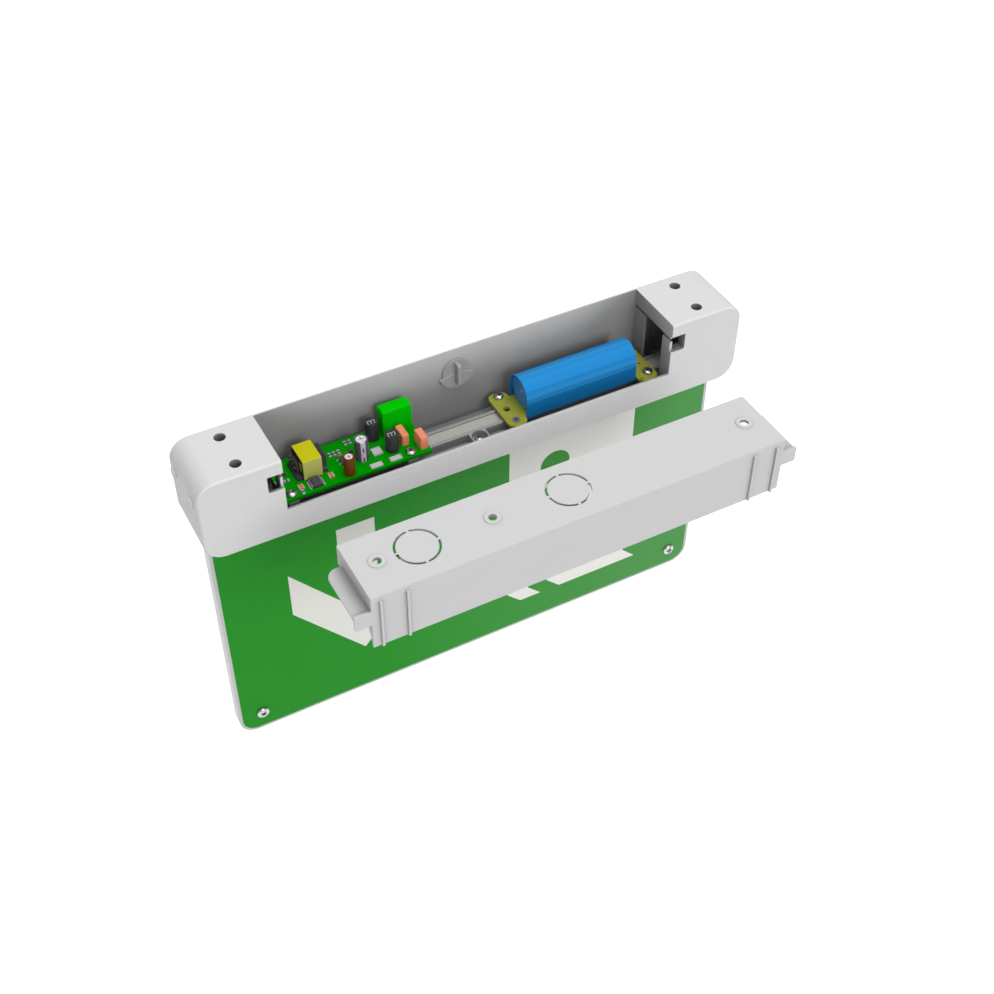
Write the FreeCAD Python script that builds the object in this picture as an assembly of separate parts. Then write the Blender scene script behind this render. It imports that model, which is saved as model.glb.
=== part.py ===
import FreeCAD, Part
import math
import os

# Emergency exit light: a slim ceiling housing with a hanging sign blade, its driver
# board and battery inside, and the mounting base drawn off to the front.
# Millimetres. The origin is the centre of the housing's top face, X runs along the
# housing, -Y is the front and +Z is up. Names with "depth" in them may count down
# from the top face.

# Housing shell
housing_length = 312.0
housing_depth = 38.7
housing_height = 50.0
corner_radius = 11.0
front_edge_chamfer = 0.9
rear_edge_chamfer = 0.5
wall = 1.6
end_compartment_length = 44.5
notch_depth = 33.0

# Walls that close the two end compartments, and the slot between them for the tongues
partition = 1.6
lip_depth = 9.8
tongue_slot = 2.0
front_return_reach = 7.55
rear_return_reach = 10.25
window_width = 8.4
window_top_depth = 8.0
window_height = 10.0
window_corner = 1.0
wall_rib_width = 1.2
wall_rib_reach = 1.5
wall_rib_offsets = (12.5, 22.5)

# Floor of the housing: a raised shelf in front, rails along the blade slot
bar_height = 4.8
shelf_thickness = 1.2
rail_height = 5.0
rail_thickness = 1.5
rail_end_gap = 6.0
rail_lip_reach = 0.5
rail_upper_lip = 1.0
rail_lower_lip = 0.8

# Screw block on the shelf, with a well for the screw's head
block_x = 0.8
block_width = 10.2
block_well_radius = 4.2
block_well_depth = 3.2
block_hole_reach = 5.0

# Fixing holes in the top and locating pips on the end faces
top_hole_radius = 2.95
top_hole_inset = 24.3
top_hole_spacing_y = 21.2
pip_radius = 3.0
pip_height = 1.2
pip_depth = 15.0
pip_spacing_y = 23.4
pip_middle_y = 1.1

# Mounting base
base_drawn_off = 100.4
base_clearance = 0.3
base_wall = 1.5
base_rear_flange = 3.4
base_brace_reach = 10.35
tab_gap = 0.5
tab_corner = 0.8
tongue_rear_gap = 3.75
tongue_corner = 6.0
grip_rib_offsets = (4.7, 17.9)
grip_rib_width = 1.5
grip_rib_proud = 1.3
grip_rib_top = 3.0
grip_rib_chamfer = 0.3
stiffener_places = (-60.0, 35.0, 75.0)
stiffener_width = 1.2
stiffener_drop = 4.0
base_hole_left_inset = 12.3
base_hole_right_inset = 11.1
base_hole_middle_x = -40.3
base_hole_radius = 2.1
base_ring_width = 2.1
base_ring_height = 0.5
knockout_left_inset = 32.3
knockout_middle_x = 0.0
knockout_radius = 10.6
knockout_slot = 1.1
knockout_bridge = 1.4
knockout_bridges = 4

# Quarter-turn plug in the rear wall
plug_x = 0.5
plug_depth = 14.2
plug_stem_radius = 3.95
plug_disc_radius = 8.0
plug_disc_thickness = 1.2
plug_fan_radius = 10.1
plug_fan_thickness = 1.75
plug_fan_droop = 15.0
plug_fin_length = 13.0
plug_fin_thickness = 2.0
plug_fin_reach = 5.25
plug_wall_gap = 0.1

# Sign blade
blade_end_inset = 4.8
blade_drop = 161.0
blade_corner = 11.0
blade_top_gap = 0.5
blade_slot_gap = 0.2
blade_end_gap = 0.4
guide_thickness = 5.0
sheet_thickness = 1.5
film_thickness = 0.2
film_margin = 1.9
film_top_gap = 0.2
blade_screw_inset = 14.0
blade_screw_head_radius = 3.7
blade_screw_head_height = 2.2
blade_screw_length = 6.0

# Clamp bar under the shelf, held by one screw and a ledge at each end, and the flat
# keys that carry the blade
bar_end_inset = 16.0
bar_end_gap = 0.3
bar_front_gap = 0.25
bar_ledge_reach = 3.0
bar_ledge_thickness = 1.2
bar_screw_grip = 3.8
key_width = 3.0
key_height = 2.5
key_spacing = 120.0
key_rise = 3.2
key_front_cover = 3.5
key_rear_reach = 0.8

# Strip of light sources over the blade
strip_end_inset = 8.0
strip_thickness = 1.0
strip_side_gap = 0.1
source_end_gap = 6.0
source_pitch = 12.0
source_length = 3.5
source_width = 2.8
source_height = 0.7

# Driver board
board_end_gap = 0.9
board_length = 81.0
board_depth = 29.3
board_middle_y = 0.25
board_thickness = 1.6
board_above_rails = 5.3
board_screw_places = ((-35.9, -11.25), (30.0, -11.25))
board_rest_places = ((-35.9, 10.25), (30.0, 10.25))

# Parts on the driver board, placed from the middle of the board
winding_place = (-21.4, 1.95)
winding_size = (10.2, 14.8, 12.5)
winding_chamfer = 0.4
bobbin_foot = (3.2, 14.0, 1.9)
bobbin_foot_offset_y = 0.8
bobbin_cheek = (1.9, 10.4, 8.2)
bobbin_right_cheek_width = 4.1
bobbin_cheek_offset_y = 2.6
bobbin_tube = (6.0, 5.0)
bobbin_tube_rise = 3.0
rectifier_place = (-22.0, -9.75)
rectifier_size = (5.0, 6.2, 2.3)
rectifier_chamfer = 0.35
rectifier_lead = (1.5, 0.9, 0.3)
rectifier_lead_pitch = 1.5
rectifier_leads = 4
green_capacitor_place = (30.95, 9.65)
green_capacitor_size = (16.4, 7.4, 16.1)
green_capacitor_chamfer = 0.5
long_film_capacitor_place = (30.15, -0.6)
long_film_capacitor_size = (3.8, 9.2, 7.0)
short_film_capacitor_place = (37.6, -7.9)
short_film_capacitor_size = (4.1, 8.3, 7.8)
film_chamfer = 0.4
brown_capacitor_place = (-3.9, -10.85)
brown_capacitor_radius = 2.9
brown_capacitor_height = 11.5
grey_capacitor_place = (6.4, -3.05)
grey_capacitor_radius = 3.7
grey_capacitor_height = 12.7
rear_choke_place = (17.1, 8.05)
rear_choke_height = 11.3
front_choke_place = (22.8, -4.45)
front_choke_height = 10.5
choke_radius = 3.6
control_chip_place = (-3.1, -0.9)
control_chip_size = (3.4, 5.8, 1.4)
transistor_places = ((2.5, 3.6), (-34.15, 3.5))
transistor_size = (2.9, 1.6, 1.1)
square_diode_place = (14.6, -2.9)
square_diode_size = (5.0, 5.2, 1.1)
flat_resistor_places = ((10.3, -11.9), (21.2, -11.7))
flat_resistor_size = (6.6, 3.0, 0.7)
chip_resistor_places = ((-7.8, 6.0), (-5.4, 5.9), (-2.85, 6.1), (2.8, 10.6), (5.35, 10.6),
                        (-30.2, -12.45))
chip_resistor_size = (1.4, 3.0, 0.6)
chip_capacitor_places = ((-13.2, -8.3), (-29.9, -9.15), (-39.1, -1.75))
chip_capacitor_size = (2.7, 3.4, 1.2)
small_chip_place = (-3.2, 2.8)
small_chip_size = (1.9, 1.0, 0.6)
turned_chip_place = (-34.5, -1.15)
turned_chip_size = (2.8, 1.5, 0.6)

# Battery pack, placed from the middle of its plate
plate_end_gap = 2.0
plate_length = 92.5
plate_width = 29.2
plate_thickness = 1.6
plate_above_rails = 0.9
plate_corner = 4.2
plate_left_pad = 11.0
plate_right_pad = 12.0
# in from the plate's left end, or back from its right end where negative, and across
plate_screw_places = ((5.8, 11.0), (-4.35, -8.7))
plate_rest_places = ((5.2, -9.8), (-3.9, 8.4))
plate_large_hole_place = (5.0, 0.2)
plate_large_hole_radius = 1.9
plate_small_hole_places = ((-4.6, 0.0), (-10.0, -11.8))
plate_small_hole_radius = 0.7
eyelet_place = (5.2, -9.8)
eyelet_flange_radius = 2.1
eyelet_barrel_radius = 1.3
eyelet_bore_radius = 0.8
eyelet_flange_thickness = 0.4
cell_radius = 9.2
cell_length = 65.0
cell_seat_gap = 0.05
cell_cap_radius = 2.9
cell_cap_height = 0.9
sleeve_length = 68.0
sleeve_thickness = 0.4
sleeve_gap = 0.05
sleeve_neck_gap = 0.1

# Screws and fits
screw_radius = 1.5
screw_head_radius = 2.8
screw_head_height = 2.0
bar_screw_head_height = 2.2
screw_post_length = 6.0
screw_post_width = 6.0
rest_post_length = 5.0
rest_post_width = 4.0
board_screw_length = 7.6
plate_screw_length = 6.6
pilot_spare_depth = 0.5
tight_clearance = 0.05
free_clearance = 0.2
cut_over = 1.0

# Places that follow from the sizes above
half_length = housing_length / 2
half_depth = housing_depth / 2
inner_front = -half_depth + wall
inner_rear = half_depth - wall
opening_half = half_length - end_compartment_length
housing_bottom = -housing_height
floor_level = housing_bottom + wall
shelf_bottom = housing_bottom + bar_height
shelf_level = shelf_bottom + shelf_thickness
rail_top = shelf_level + rail_height
strip_top = rail_top - rail_upper_lip
strip_bottom = strip_top - strip_thickness
blade_half_thickness = guide_thickness / 2 + sheet_thickness
blade_top = strip_bottom - rail_lower_lip - blade_top_gap
blade_bottom = housing_bottom - blade_drop
slot_half = blade_half_thickness + blade_slot_gap
blade_length = housing_length - 2 * blade_end_inset
blade_screw_y = -blade_half_thickness - film_thickness
key_level = housing_bottom + key_rise
well_level = rail_top - block_well_depth
bar_half = half_length - bar_end_inset
bar_recess_half = bar_half + bar_end_gap
strip_length = housing_length - 2 * strip_end_inset
source_count = int((strip_length - 2 * source_end_gap - source_length) / source_pitch) + 1
pilot_radius = screw_radius + tight_clearance
free_hole_radius = screw_radius + free_clearance

board_middle_x = -opening_half + board_end_gap + board_length / 2
board_seat = rail_top + board_above_rails
board_top = board_seat + board_thickness

plate_middle_x = opening_half - plate_end_gap - plate_length / 2
plate_seat = rail_top + plate_above_rails
plate_top = plate_seat + plate_thickness
cell_level = plate_top + cell_radius + cell_seat_gap
neck_left = plate_middle_x - plate_length / 2 + plate_left_pad
neck_right = plate_middle_x + plate_length / 2 - plate_right_pad
cell_middle_x = (neck_left + neck_right) / 2
neck_half_width = cell_radius + sleeve_gap - sleeve_neck_gap

base_half = opening_half - base_clearance
base_rear = inner_rear - base_clearance
base_low = -notch_depth + base_clearance
tongue_top = -lip_depth - base_clearance
tongue_bottom = -lip_depth - tongue_slot + base_clearance
tab_reach = opening_half + window_width - tab_gap
base_hole_places = (-base_half + base_hole_left_inset, base_hole_middle_x, base_half - base_hole_right_inset)
knockout_places = (-base_half + knockout_left_inset, knockout_middle_x)

V = FreeCAD.Vector


# Helpers
def box(x0, x1, y0, y1, z0, z1):
    return Part.makeBox(x1 - x0, y1 - y0, z1 - z0, V(x0, y0, z0))


def block_at(middle, size, z0):
    x, y = middle
    length, depth, height = size
    return box(x - length / 2, x + length / 2, y - depth / 2, y + depth / 2, z0, z0 + height)


def rod_x(radius, y, z, x0, x1):
    return Part.makeCylinder(radius, x1 - x0, V(x0, y, z), V(1, 0, 0))


def rod_y(radius, x, z, y0, y1):
    return Part.makeCylinder(radius, y1 - y0, V(x, y0, z), V(0, 1, 0))


def rod_z(radius, x, y, z0, z1):
    return Part.makeCylinder(radius, z1 - z0, V(x, y, z0), V(0, 0, 1))


def fuse(shapes):
    return shapes[0].multiFuse(shapes[1:]).removeSplitter()


def cut(shape, tools):
    return shape.cut(tools).removeSplitter()


def mirrored(shape):
    return shape.mirror(V(0, 0, 0), V(1, 0, 0))


def with_mirror(shapes):
    return shapes + [mirrored(shape) for shape in shapes]


def edges_along(shape, axis):
    # straight edges parallel to "x", "y" or "z"
    found = []
    for edge in shape.Edges:
        span = edge.Vertexes[-1].Point - edge.Vertexes[0].Point
        if span.Length > 1e-6 and abs(abs(getattr(span, axis)) - span.Length) < 1e-6:
            found.append(edge)
    return found


def edges_in_plane(shape, axis, value):
    return [edge for edge in shape.Edges
            if all(abs(getattr(vertex.Point, axis) - value) < 1e-6 for vertex in edge.Vertexes)]


def upright_plate(half_width, top, bottom, y0, y1, low_radius, high_radius=0.0):
    # a plate facing the front, with rounded corners below and, if asked, above
    plate = box(-half_width, half_width, y0, y1, bottom, top)
    low = [edge for edge in edges_along(plate, "y") if edge.Vertexes[0].Z < bottom + 1e-6]
    plate = plate.makeFillet(low_radius, low)
    if high_radius:
        high = [edge for edge in edges_along(plate, "y") if edge.Vertexes[0].Z > top - 1e-6]
        plate = plate.makeFillet(high_radius, high)
    return plate


def pan_screw(length, head_radius, head_height):
    # a pan screw, head up, with the underside of its head at the origin
    shank = rod_z(screw_radius, 0, 0, -length, 0)
    head = rod_z(head_radius, 0, 0, 0, head_height)
    return fuse([shank, head])


def screws_down(places, seat, length, head_radius, head_height):
    screws = []
    for x, y in places:
        screw = pan_screw(length, head_radius, head_height)
        screw.translate(V(x, y, seat))
        screws.append(screw)
    return Part.makeCompound(screws)


def on_board(place):
    return (board_middle_x + place[0], board_middle_y + place[1])


def on_plate(place):
    end = -1 if place[0] > 0 else 1
    return (plate_middle_x + end * plate_length / 2 + place[0], place[1])


# Housing
def housing_block():
    block = upright_plate(half_length, 0, housing_bottom, -half_depth, half_depth,
                          corner_radius, corner_radius)
    block = block.makeChamfer(front_edge_chamfer, edges_in_plane(block, "y", -half_depth))
    return block.makeChamfer(rear_edge_chamfer, edges_in_plane(block, "y", half_depth))


def housing_cavity():
    inner_radius = corner_radius - wall
    return upright_plate(half_length - wall, -wall, floor_level, inner_front, inner_rear,
                         inner_radius, inner_radius)


def shelf():
    half = bar_recess_half + wall
    return box(-half, half, inner_front, -slot_half, housing_bottom, shelf_level)


def blade_rails():
    half = half_length - rail_end_gap
    outer = slot_half + rail_thickness
    inner = slot_half - rail_lip_reach
    pieces = []
    for side in (-1, 1):
        near, far = sorted((side * slot_half, side * outer))
        tip, root = sorted((side * inner, side * slot_half))
        pieces.append(box(-half, half, near, far, floor_level, rail_top))
        pieces.append(box(-half, half, tip, root, strip_top, rail_top))
        pieces.append(box(-half, half, tip, root, strip_bottom - rail_lower_lip, strip_bottom))
    return pieces


def block_screw_place():
    return (block_x, -slot_half - block_hole_reach)


def screw_block():
    half = block_width / 2
    return box(block_x - half, block_x + half, inner_front, -slot_half, shelf_level, rail_top)


def foot_level(place):
    return shelf_level if place[1] < 0 else floor_level


def post(place, length, width, seat):
    foot = foot_level(place)
    return block_at(place, (length, width, seat - foot), foot)


def posts():
    found = []
    for place in board_screw_places:
        found.append(post(on_board(place), screw_post_length, screw_post_width, board_seat))
    for place in board_rest_places:
        found.append(post(on_board(place), rest_post_length, rest_post_width, board_seat))
    for place in plate_screw_places:
        found.append(post(on_plate(place), screw_post_length, screw_post_width, plate_seat))
    for place in plate_rest_places:
        found.append(post(on_plate(place), rest_post_length, rest_post_width, plate_seat))
    return found


def end_compartment_walls():
    inner = opening_half
    outer = opening_half + partition
    return_top = -lip_depth - tongue_slot
    lip = box(inner, outer, inner_front, inner_rear, -lip_depth, -wall)
    front_return = box(inner, outer, inner_front, inner_front + front_return_reach, shelf_level, return_top)
    rear_return = box(inner, outer, inner_rear - rear_return_reach, inner_rear, floor_level, return_top)
    ribs = []
    for offset in wall_rib_offsets:
        x = opening_half + offset
        ribs.append(box(x, x + wall_rib_width, inner_rear - wall_rib_reach, inner_rear, floor_level, -wall))
    return with_mirror([lip, front_return, rear_return] + ribs)


def end_pips():
    pips = []
    for side in (-0.5, 0.5):
        y = pip_middle_y + side * pip_spacing_y
        pips.append(rod_x(pip_radius, y, -pip_depth, half_length - wall / 2, half_length + pip_height))
    return with_mirror(pips)


def ceiling_opening():
    # the top and the front wall are open between the end compartments
    front = -half_depth - cut_over
    top = box(-opening_half, opening_half, front, inner_rear, -wall - cut_over, cut_over)
    notch = box(-opening_half, opening_half, front, inner_front, -notch_depth, cut_over)
    window = box(opening_half - cut_over, opening_half + window_width, front, inner_front,
                 -window_top_depth - window_height, -window_top_depth)
    low = [edge for edge in edges_along(window, "y")
           if edge.Vertexes[0].X > opening_half and edge.Vertexes[0].Z < -window_top_depth - 1e-6]
    return [top, notch] + with_mirror([window.makeFillet(window_corner, low)])


def floor_openings():
    # the clamp bar's recess, with a ledge left under each end of the bar, and the blade's slot
    clear = bar_recess_half - bar_ledge_reach
    ledge_top = housing_bottom + bar_ledge_thickness
    recess = box(-bar_recess_half, bar_recess_half, inner_front, slot_half, ledge_top, shelf_bottom)
    mouth = box(-clear, clear, inner_front, slot_half, housing_bottom - cut_over, ledge_top)
    slot = blade_length / 2 + blade_end_gap
    return [recess, mouth, box(-slot, slot, -slot_half, slot_half, housing_bottom - cut_over, blade_top)]


def housing_holes():
    holes = []
    for x in (-half_length + top_hole_inset, half_length - top_hole_inset):
        for y in (-top_hole_spacing_y / 2, top_hole_spacing_y / 2):
            holes.append(rod_z(top_hole_radius, x, y, -wall - cut_over, cut_over))
    x, y = block_screw_place()
    holes.append(rod_z(block_well_radius, x, y, well_level, rail_top + cut_over))
    holes.append(rod_z(free_hole_radius, x, y, shelf_bottom - cut_over, well_level + cut_over))
    for place in board_screw_places:
        x, y = on_board(place)
        depth = board_screw_length - board_thickness + pilot_spare_depth
        holes.append(rod_z(pilot_radius, x, y, board_seat - depth, board_seat + cut_over))
    for place in plate_screw_places:
        x, y = on_plate(place)
        depth = plate_screw_length - plate_thickness + pilot_spare_depth
        holes.append(rod_z(pilot_radius, x, y, plate_seat - depth, plate_seat + cut_over))
    holes += key_slots(0, slot_half + rail_thickness + cut_over)
    holes.append(rod_y(plug_stem_radius + tight_clearance, plug_x, -plug_depth,
                       inner_rear - cut_over, half_depth + cut_over))
    return holes


def housing():
    outline = housing_block()
    inside = [shelf(), screw_block()] + blade_rails() + posts()
    inside = fuse(inside + end_compartment_walls()).common(outline)
    shell = fuse([outline.cut(housing_cavity()), inside] + end_pips())
    return cut(shell, ceiling_opening() + floor_openings() + housing_holes())


# Mounting base, built where it sits when home and then drawn off
def base_end():
    inner = base_half - base_wall
    profile = Part.makePolygon([
        V(inner, -half_depth, 0),
        V(inner, base_rear, 0),
        V(inner, base_rear, tongue_bottom),
        V(inner, -half_depth + base_brace_reach, tongue_bottom),
        V(inner, -half_depth, base_low),
        V(inner, -half_depth, 0),
    ])
    end_wall = Part.Face(profile).extrude(V(base_wall, 0, 0))
    tab_top = -window_top_depth - tab_gap
    tab_low = -window_top_depth - window_height + tab_gap
    tab = box(inner, tab_reach, -half_depth, -half_depth + base_wall, tab_low, tab_top)
    tips = [edge for edge in edges_along(tab, "y") if edge.Vertexes[0].X > tab_reach - 1e-6]
    tongue = box(inner, tab_reach, -half_depth + base_wall / 2, inner_rear - tongue_rear_gap,
                 tongue_bottom, tongue_top)
    rear_tip = [edge for edge in edges_along(tongue, "z")
                if edge.Vertexes[0].X > tab_reach - 1e-6 and edge.Vertexes[0].Y > 0]
    return [end_wall, tab.makeFillet(tab_corner, tips), tongue.makeFillet(tongue_corner, rear_tip)]


def grip_ribs():
    # beads down the front with rounded edges and tops
    front = -half_depth - grip_rib_proud
    ribs = []
    for offset in grip_rib_offsets:
        x = base_half - offset
        rib = box(x - grip_rib_width / 2, x + grip_rib_width / 2, front, -half_depth + base_wall / 2,
                  base_low, -grip_rib_top)
        crown = [edge for edge in edges_in_plane(rib, "y", front) if edge.CenterOfMass.z > base_low + 1e-6]
        ribs.append(rib.makeChamfer(grip_rib_chamfer, crown))
    return with_mirror(ribs)


def stiffeners():
    half = stiffener_width / 2
    return [box(x - half, x + half, -half_depth + base_wall / 2, base_rear - base_wall / 2,
                -base_wall - stiffener_drop, -base_wall / 2) for x in stiffener_places]


def knockout_slots(x):
    low = -base_wall - cut_over
    ring = rod_z(knockout_radius + knockout_slot / 2, x, 0, low, cut_over)
    ring = ring.cut(rod_z(knockout_radius - knockout_slot / 2, x, 0, low, cut_over))
    reach = knockout_radius + knockout_slot + cut_over
    for step in range(knockout_bridges):
        bridge = box(0, reach, -knockout_bridge / 2, knockout_bridge / 2, low, cut_over)
        bridge.rotate(V(0, 0, 0), V(0, 0, 1), step * 360 / knockout_bridges)
        bridge.translate(V(x, 0, 0))
        ring = ring.cut(bridge)
    return ring


def mounting_base():
    top = box(-base_half, base_half, -half_depth, base_rear, -base_wall, 0)
    front = box(-base_half, base_half, -half_depth, -half_depth + base_wall, base_low, 0)
    flange = box(-base_half, base_half, base_rear - base_wall, base_rear, -base_rear_flange, 0)
    rings = [rod_z(base_hole_radius + base_ring_width, x, 0, -base_wall / 2, base_ring_height)
             for x in base_hole_places]
    base = fuse([top, front, flange] + with_mirror(base_end()) + grip_ribs() + stiffeners() + rings)
    holes = [rod_z(base_hole_radius, x, 0, -base_wall - cut_over, base_ring_height + cut_over)
             for x in base_hole_places]
    base = cut(base, holes + [knockout_slots(x) for x in knockout_places])
    base.translate(V(0, -base_drawn_off, 0))
    return base


# Rear plug
def rear_plug():
    back = inner_rear - plug_wall_gap
    disc = rod_y(plug_disc_radius, plug_x, -plug_depth, back - plug_disc_thickness, back)
    face = back - plug_fan_thickness
    reach = plug_fan_radius * 2
    droop = reach * math.tan(math.radians(plug_fan_droop))
    above = Part.makePolygon([
        V(plug_x, face - cut_over, -plug_depth),
        V(plug_x + reach, face - cut_over, -plug_depth - droop),
        V(plug_x + reach, face - cut_over, -plug_depth + reach),
        V(plug_x - reach, face - cut_over, -plug_depth + reach),
        V(plug_x - reach, face - cut_over, -plug_depth - droop),
        V(plug_x, face - cut_over, -plug_depth),
    ])
    above = Part.Face(above).extrude(V(0, plug_fan_thickness + cut_over * 2, 0))
    fan = rod_y(plug_fan_radius, plug_x, -plug_depth, face, back).cut(above)
    fin = box(plug_x - plug_fin_thickness / 2, plug_x + plug_fin_thickness / 2,
              back - plug_fin_reach, back - plug_disc_thickness / 2,
              -plug_depth - plug_fin_length / 2, -plug_depth + plug_fin_length / 2)
    tips = [edge for edge in edges_along(fin, "x") if edge.Vertexes[0].Y < back - plug_fin_reach + 1e-6]
    fin = fin.makeFillet(plug_fin_thickness / 2, tips)
    stem = rod_y(plug_stem_radius, plug_x, -plug_depth, back - plug_disc_thickness / 2, half_depth)
    return fuse([disc, fan, fin, stem])


# Sign blade
def blade_screw_places():
    x = blade_length / 2 - blade_screw_inset
    z = blade_bottom + blade_screw_inset
    return [(-x, z), (x, z)]


def key_slots(y0, y1):
    half_width = key_width / 2 + tight_clearance
    half_height = key_height / 2 + tight_clearance
    return [box(x - half_width, x + half_width, y0, y1, key_level - half_height, key_level + half_height)
            for x in (-key_spacing / 2, key_spacing / 2)]


def blade_layer(y0, y1):
    layer = upright_plate(blade_length / 2, blade_top, blade_bottom, y0, y1, blade_corner)
    return cut(layer, key_slots(y0 - cut_over, y1 + cut_over))


def front_sheet():
    sheet = blade_layer(-blade_half_thickness, -guide_thickness / 2)
    return cut(sheet, [rod_y(free_hole_radius, x, z, -blade_half_thickness - cut_over, 0)
                       for x, z in blade_screw_places()])


def light_guide():
    guide = blade_layer(-guide_thickness / 2, guide_thickness / 2)
    pilot_end = blade_screw_y + blade_screw_length + pilot_spare_depth / 2
    return cut(guide, [rod_y(pilot_radius, x, z, -blade_half_thickness, pilot_end)
                       for x, z in blade_screw_places()])


def rear_sheet():
    return blade_layer(guide_thickness / 2, blade_half_thickness)


def legend_film():
    face = -blade_half_thickness
    film = upright_plate(blade_length / 2 - film_margin, housing_bottom - film_top_gap,
                         blade_bottom + film_margin, face - film_thickness, face, blade_corner - film_margin)
    return cut(film, [rod_y(free_hole_radius, x, z, face - cut_over, face + cut_over)
                      for x, z in blade_screw_places()])


def blade_screws():
    screws = []
    for x, z in blade_screw_places():
        screw = pan_screw(blade_screw_length, blade_screw_head_radius, blade_screw_head_height)
        screw.rotate(V(0, 0, 0), V(1, 0, 0), 90)
        screw.translate(V(x, blade_screw_y, z))
        screws.append(screw)
    return Part.makeCompound(screws)


# Clamp bar, its screw and the keys
def clamp_bar():
    front = inner_front + bar_front_gap
    bar = box(-bar_half, bar_half, front, -slot_half - tight_clearance, housing_bottom, shelf_bottom)
    step = bar_recess_half - bar_ledge_reach - bar_end_gap
    step_top = housing_bottom + bar_ledge_thickness + tight_clearance
    low_end = box(step, bar_half + cut_over, inner_front, 0, housing_bottom - cut_over, step_top)
    x, y = block_screw_place()
    depth = bar_screw_grip + pilot_spare_depth / 2
    pilot = rod_z(pilot_radius, x, y, shelf_bottom - depth, shelf_bottom + cut_over)
    return cut(bar, with_mirror([low_end]) + [pilot] + key_slots(front + key_front_cover, 0))


def clamp_bar_screw():
    length = well_level - shelf_bottom + bar_screw_grip
    return screws_down([block_screw_place()], well_level, length, screw_head_radius, bar_screw_head_height)


def blade_keys():
    front = inner_front + bar_front_gap + key_front_cover
    size = (key_width, slot_half + rail_thickness + key_rear_reach - front, key_height)
    middle_y = front + size[1] / 2
    return Part.makeCompound([block_at((x, middle_y), size, key_level - key_height / 2)
                              for x in (-key_spacing / 2, key_spacing / 2)])


# Strip of light sources
def light_strip():
    half = slot_half - strip_side_gap
    return box(-strip_length / 2, strip_length / 2, -half, half, strip_bottom, strip_top)


def light_sources():
    first = -(source_count - 1) * source_pitch / 2
    size = (source_length, source_width, source_height)
    return Part.makeCompound([block_at((first + step * source_pitch, 0), size, strip_bottom - source_height)
                              for step in range(source_count)])


# Driver board
def driver_board():
    size = (board_length, board_depth, board_thickness)
    board = block_at((board_middle_x, board_middle_y), size, board_seat)
    holes = []
    for place in board_screw_places:
        x, y = on_board(place)
        holes.append(rod_z(free_hole_radius, x, y, board_seat - cut_over, board_top + cut_over))
    return cut(board, holes)


def board_screws():
    places = [on_board(place) for place in board_screw_places]
    return screws_down(places, board_top, board_screw_length, screw_head_radius, screw_head_height)


def board_block(place, size):
    return block_at(on_board(place), size, board_top)


def board_blocks(places, size):
    return Part.makeCompound([board_block(place, size) for place in places])


def board_can(place, radius, height):
    x, y = on_board(place)
    return rod_z(radius, x, y, board_top, board_top + height)


def bobbin_core():
    # the tube that the tape is wound on
    width, height = bobbin_tube
    return block_at(on_board(winding_place), (winding_size[0], width, height), board_top + bobbin_tube_rise)


def transformer_winding():
    winding = board_block(winding_place, winding_size)
    winding = winding.makeChamfer(winding_chamfer, edges_along(winding, "x"))
    return cut(winding, [bobbin_core()])


def transformer_bobbin():
    # at each end a low foot on the board and a cheek that stands up behind its middle
    x, y = winding_place
    pieces = [bobbin_core()]
    right_cheek = (bobbin_right_cheek_width, bobbin_cheek[1], bobbin_cheek[2])
    for side, cheek in ((-1, bobbin_cheek), (1, right_cheek)):
        for size, offset_y in ((bobbin_foot, bobbin_foot_offset_y), (cheek, bobbin_cheek_offset_y)):
            place = (x + side * (winding_size[0] + size[0]) / 2, y + offset_y)
            pieces.append(board_block(place, size))
    return fuse(pieces)


def bridge_rectifier():
    x, y = rectifier_place
    body = board_block(rectifier_place, rectifier_size)
    top_edges = edges_in_plane(body, "z", board_top + rectifier_size[2])
    pieces = [body.makeChamfer(rectifier_chamfer, top_edges)]
    lead_x = (rectifier_size[0] + rectifier_lead[0]) / 2
    for step in range(rectifier_leads):
        lead_y = y + (step - (rectifier_leads - 1) / 2) * rectifier_lead_pitch
        pieces += [board_block((x + side * lead_x, lead_y), rectifier_lead) for side in (-1, 1)]
    return fuse(pieces)


def green_capacitor():
    body = board_block(green_capacitor_place, green_capacitor_size)
    rim = edges_in_plane(body, "z", board_top + green_capacitor_size[2])
    return body.makeChamfer(green_capacitor_chamfer, rim)


def film_capacitor(place, size):
    body = board_block(place, size)
    rim = edges_in_plane(body, "z", board_top + size[2])
    return body.makeChamfer(film_chamfer, rim + edges_along(body, "z"))


def long_film_capacitor():
    return film_capacitor(long_film_capacitor_place, long_film_capacitor_size)


def short_film_capacitor():
    return film_capacitor(short_film_capacitor_place, short_film_capacitor_size)


def brown_capacitor():
    return board_can(brown_capacitor_place, brown_capacitor_radius, brown_capacitor_height)


def grey_capacitor():
    return board_can(grey_capacitor_place, grey_capacitor_radius, grey_capacitor_height)


def rear_choke():
    return board_can(rear_choke_place, choke_radius, rear_choke_height)


def front_choke():
    return board_can(front_choke_place, choke_radius, front_choke_height)


def control_chip():
    return board_block(control_chip_place, control_chip_size)


def small_transistor():
    return board_blocks(transistor_places, transistor_size)


def square_diode():
    return board_block(square_diode_place, square_diode_size)


def flat_resistors():
    return board_blocks(flat_resistor_places, flat_resistor_size)


def chip_resistors():
    chips = [board_block(place, chip_resistor_size) for place in chip_resistor_places]
    chips.append(board_block(turned_chip_place, turned_chip_size))
    return Part.makeCompound(chips)


def chip_capacitors():
    chips = [board_block(place, chip_capacitor_size) for place in chip_capacitor_places]
    chips.append(board_block(small_chip_place, small_chip_size))
    return Part.makeCompound(chips)


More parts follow.
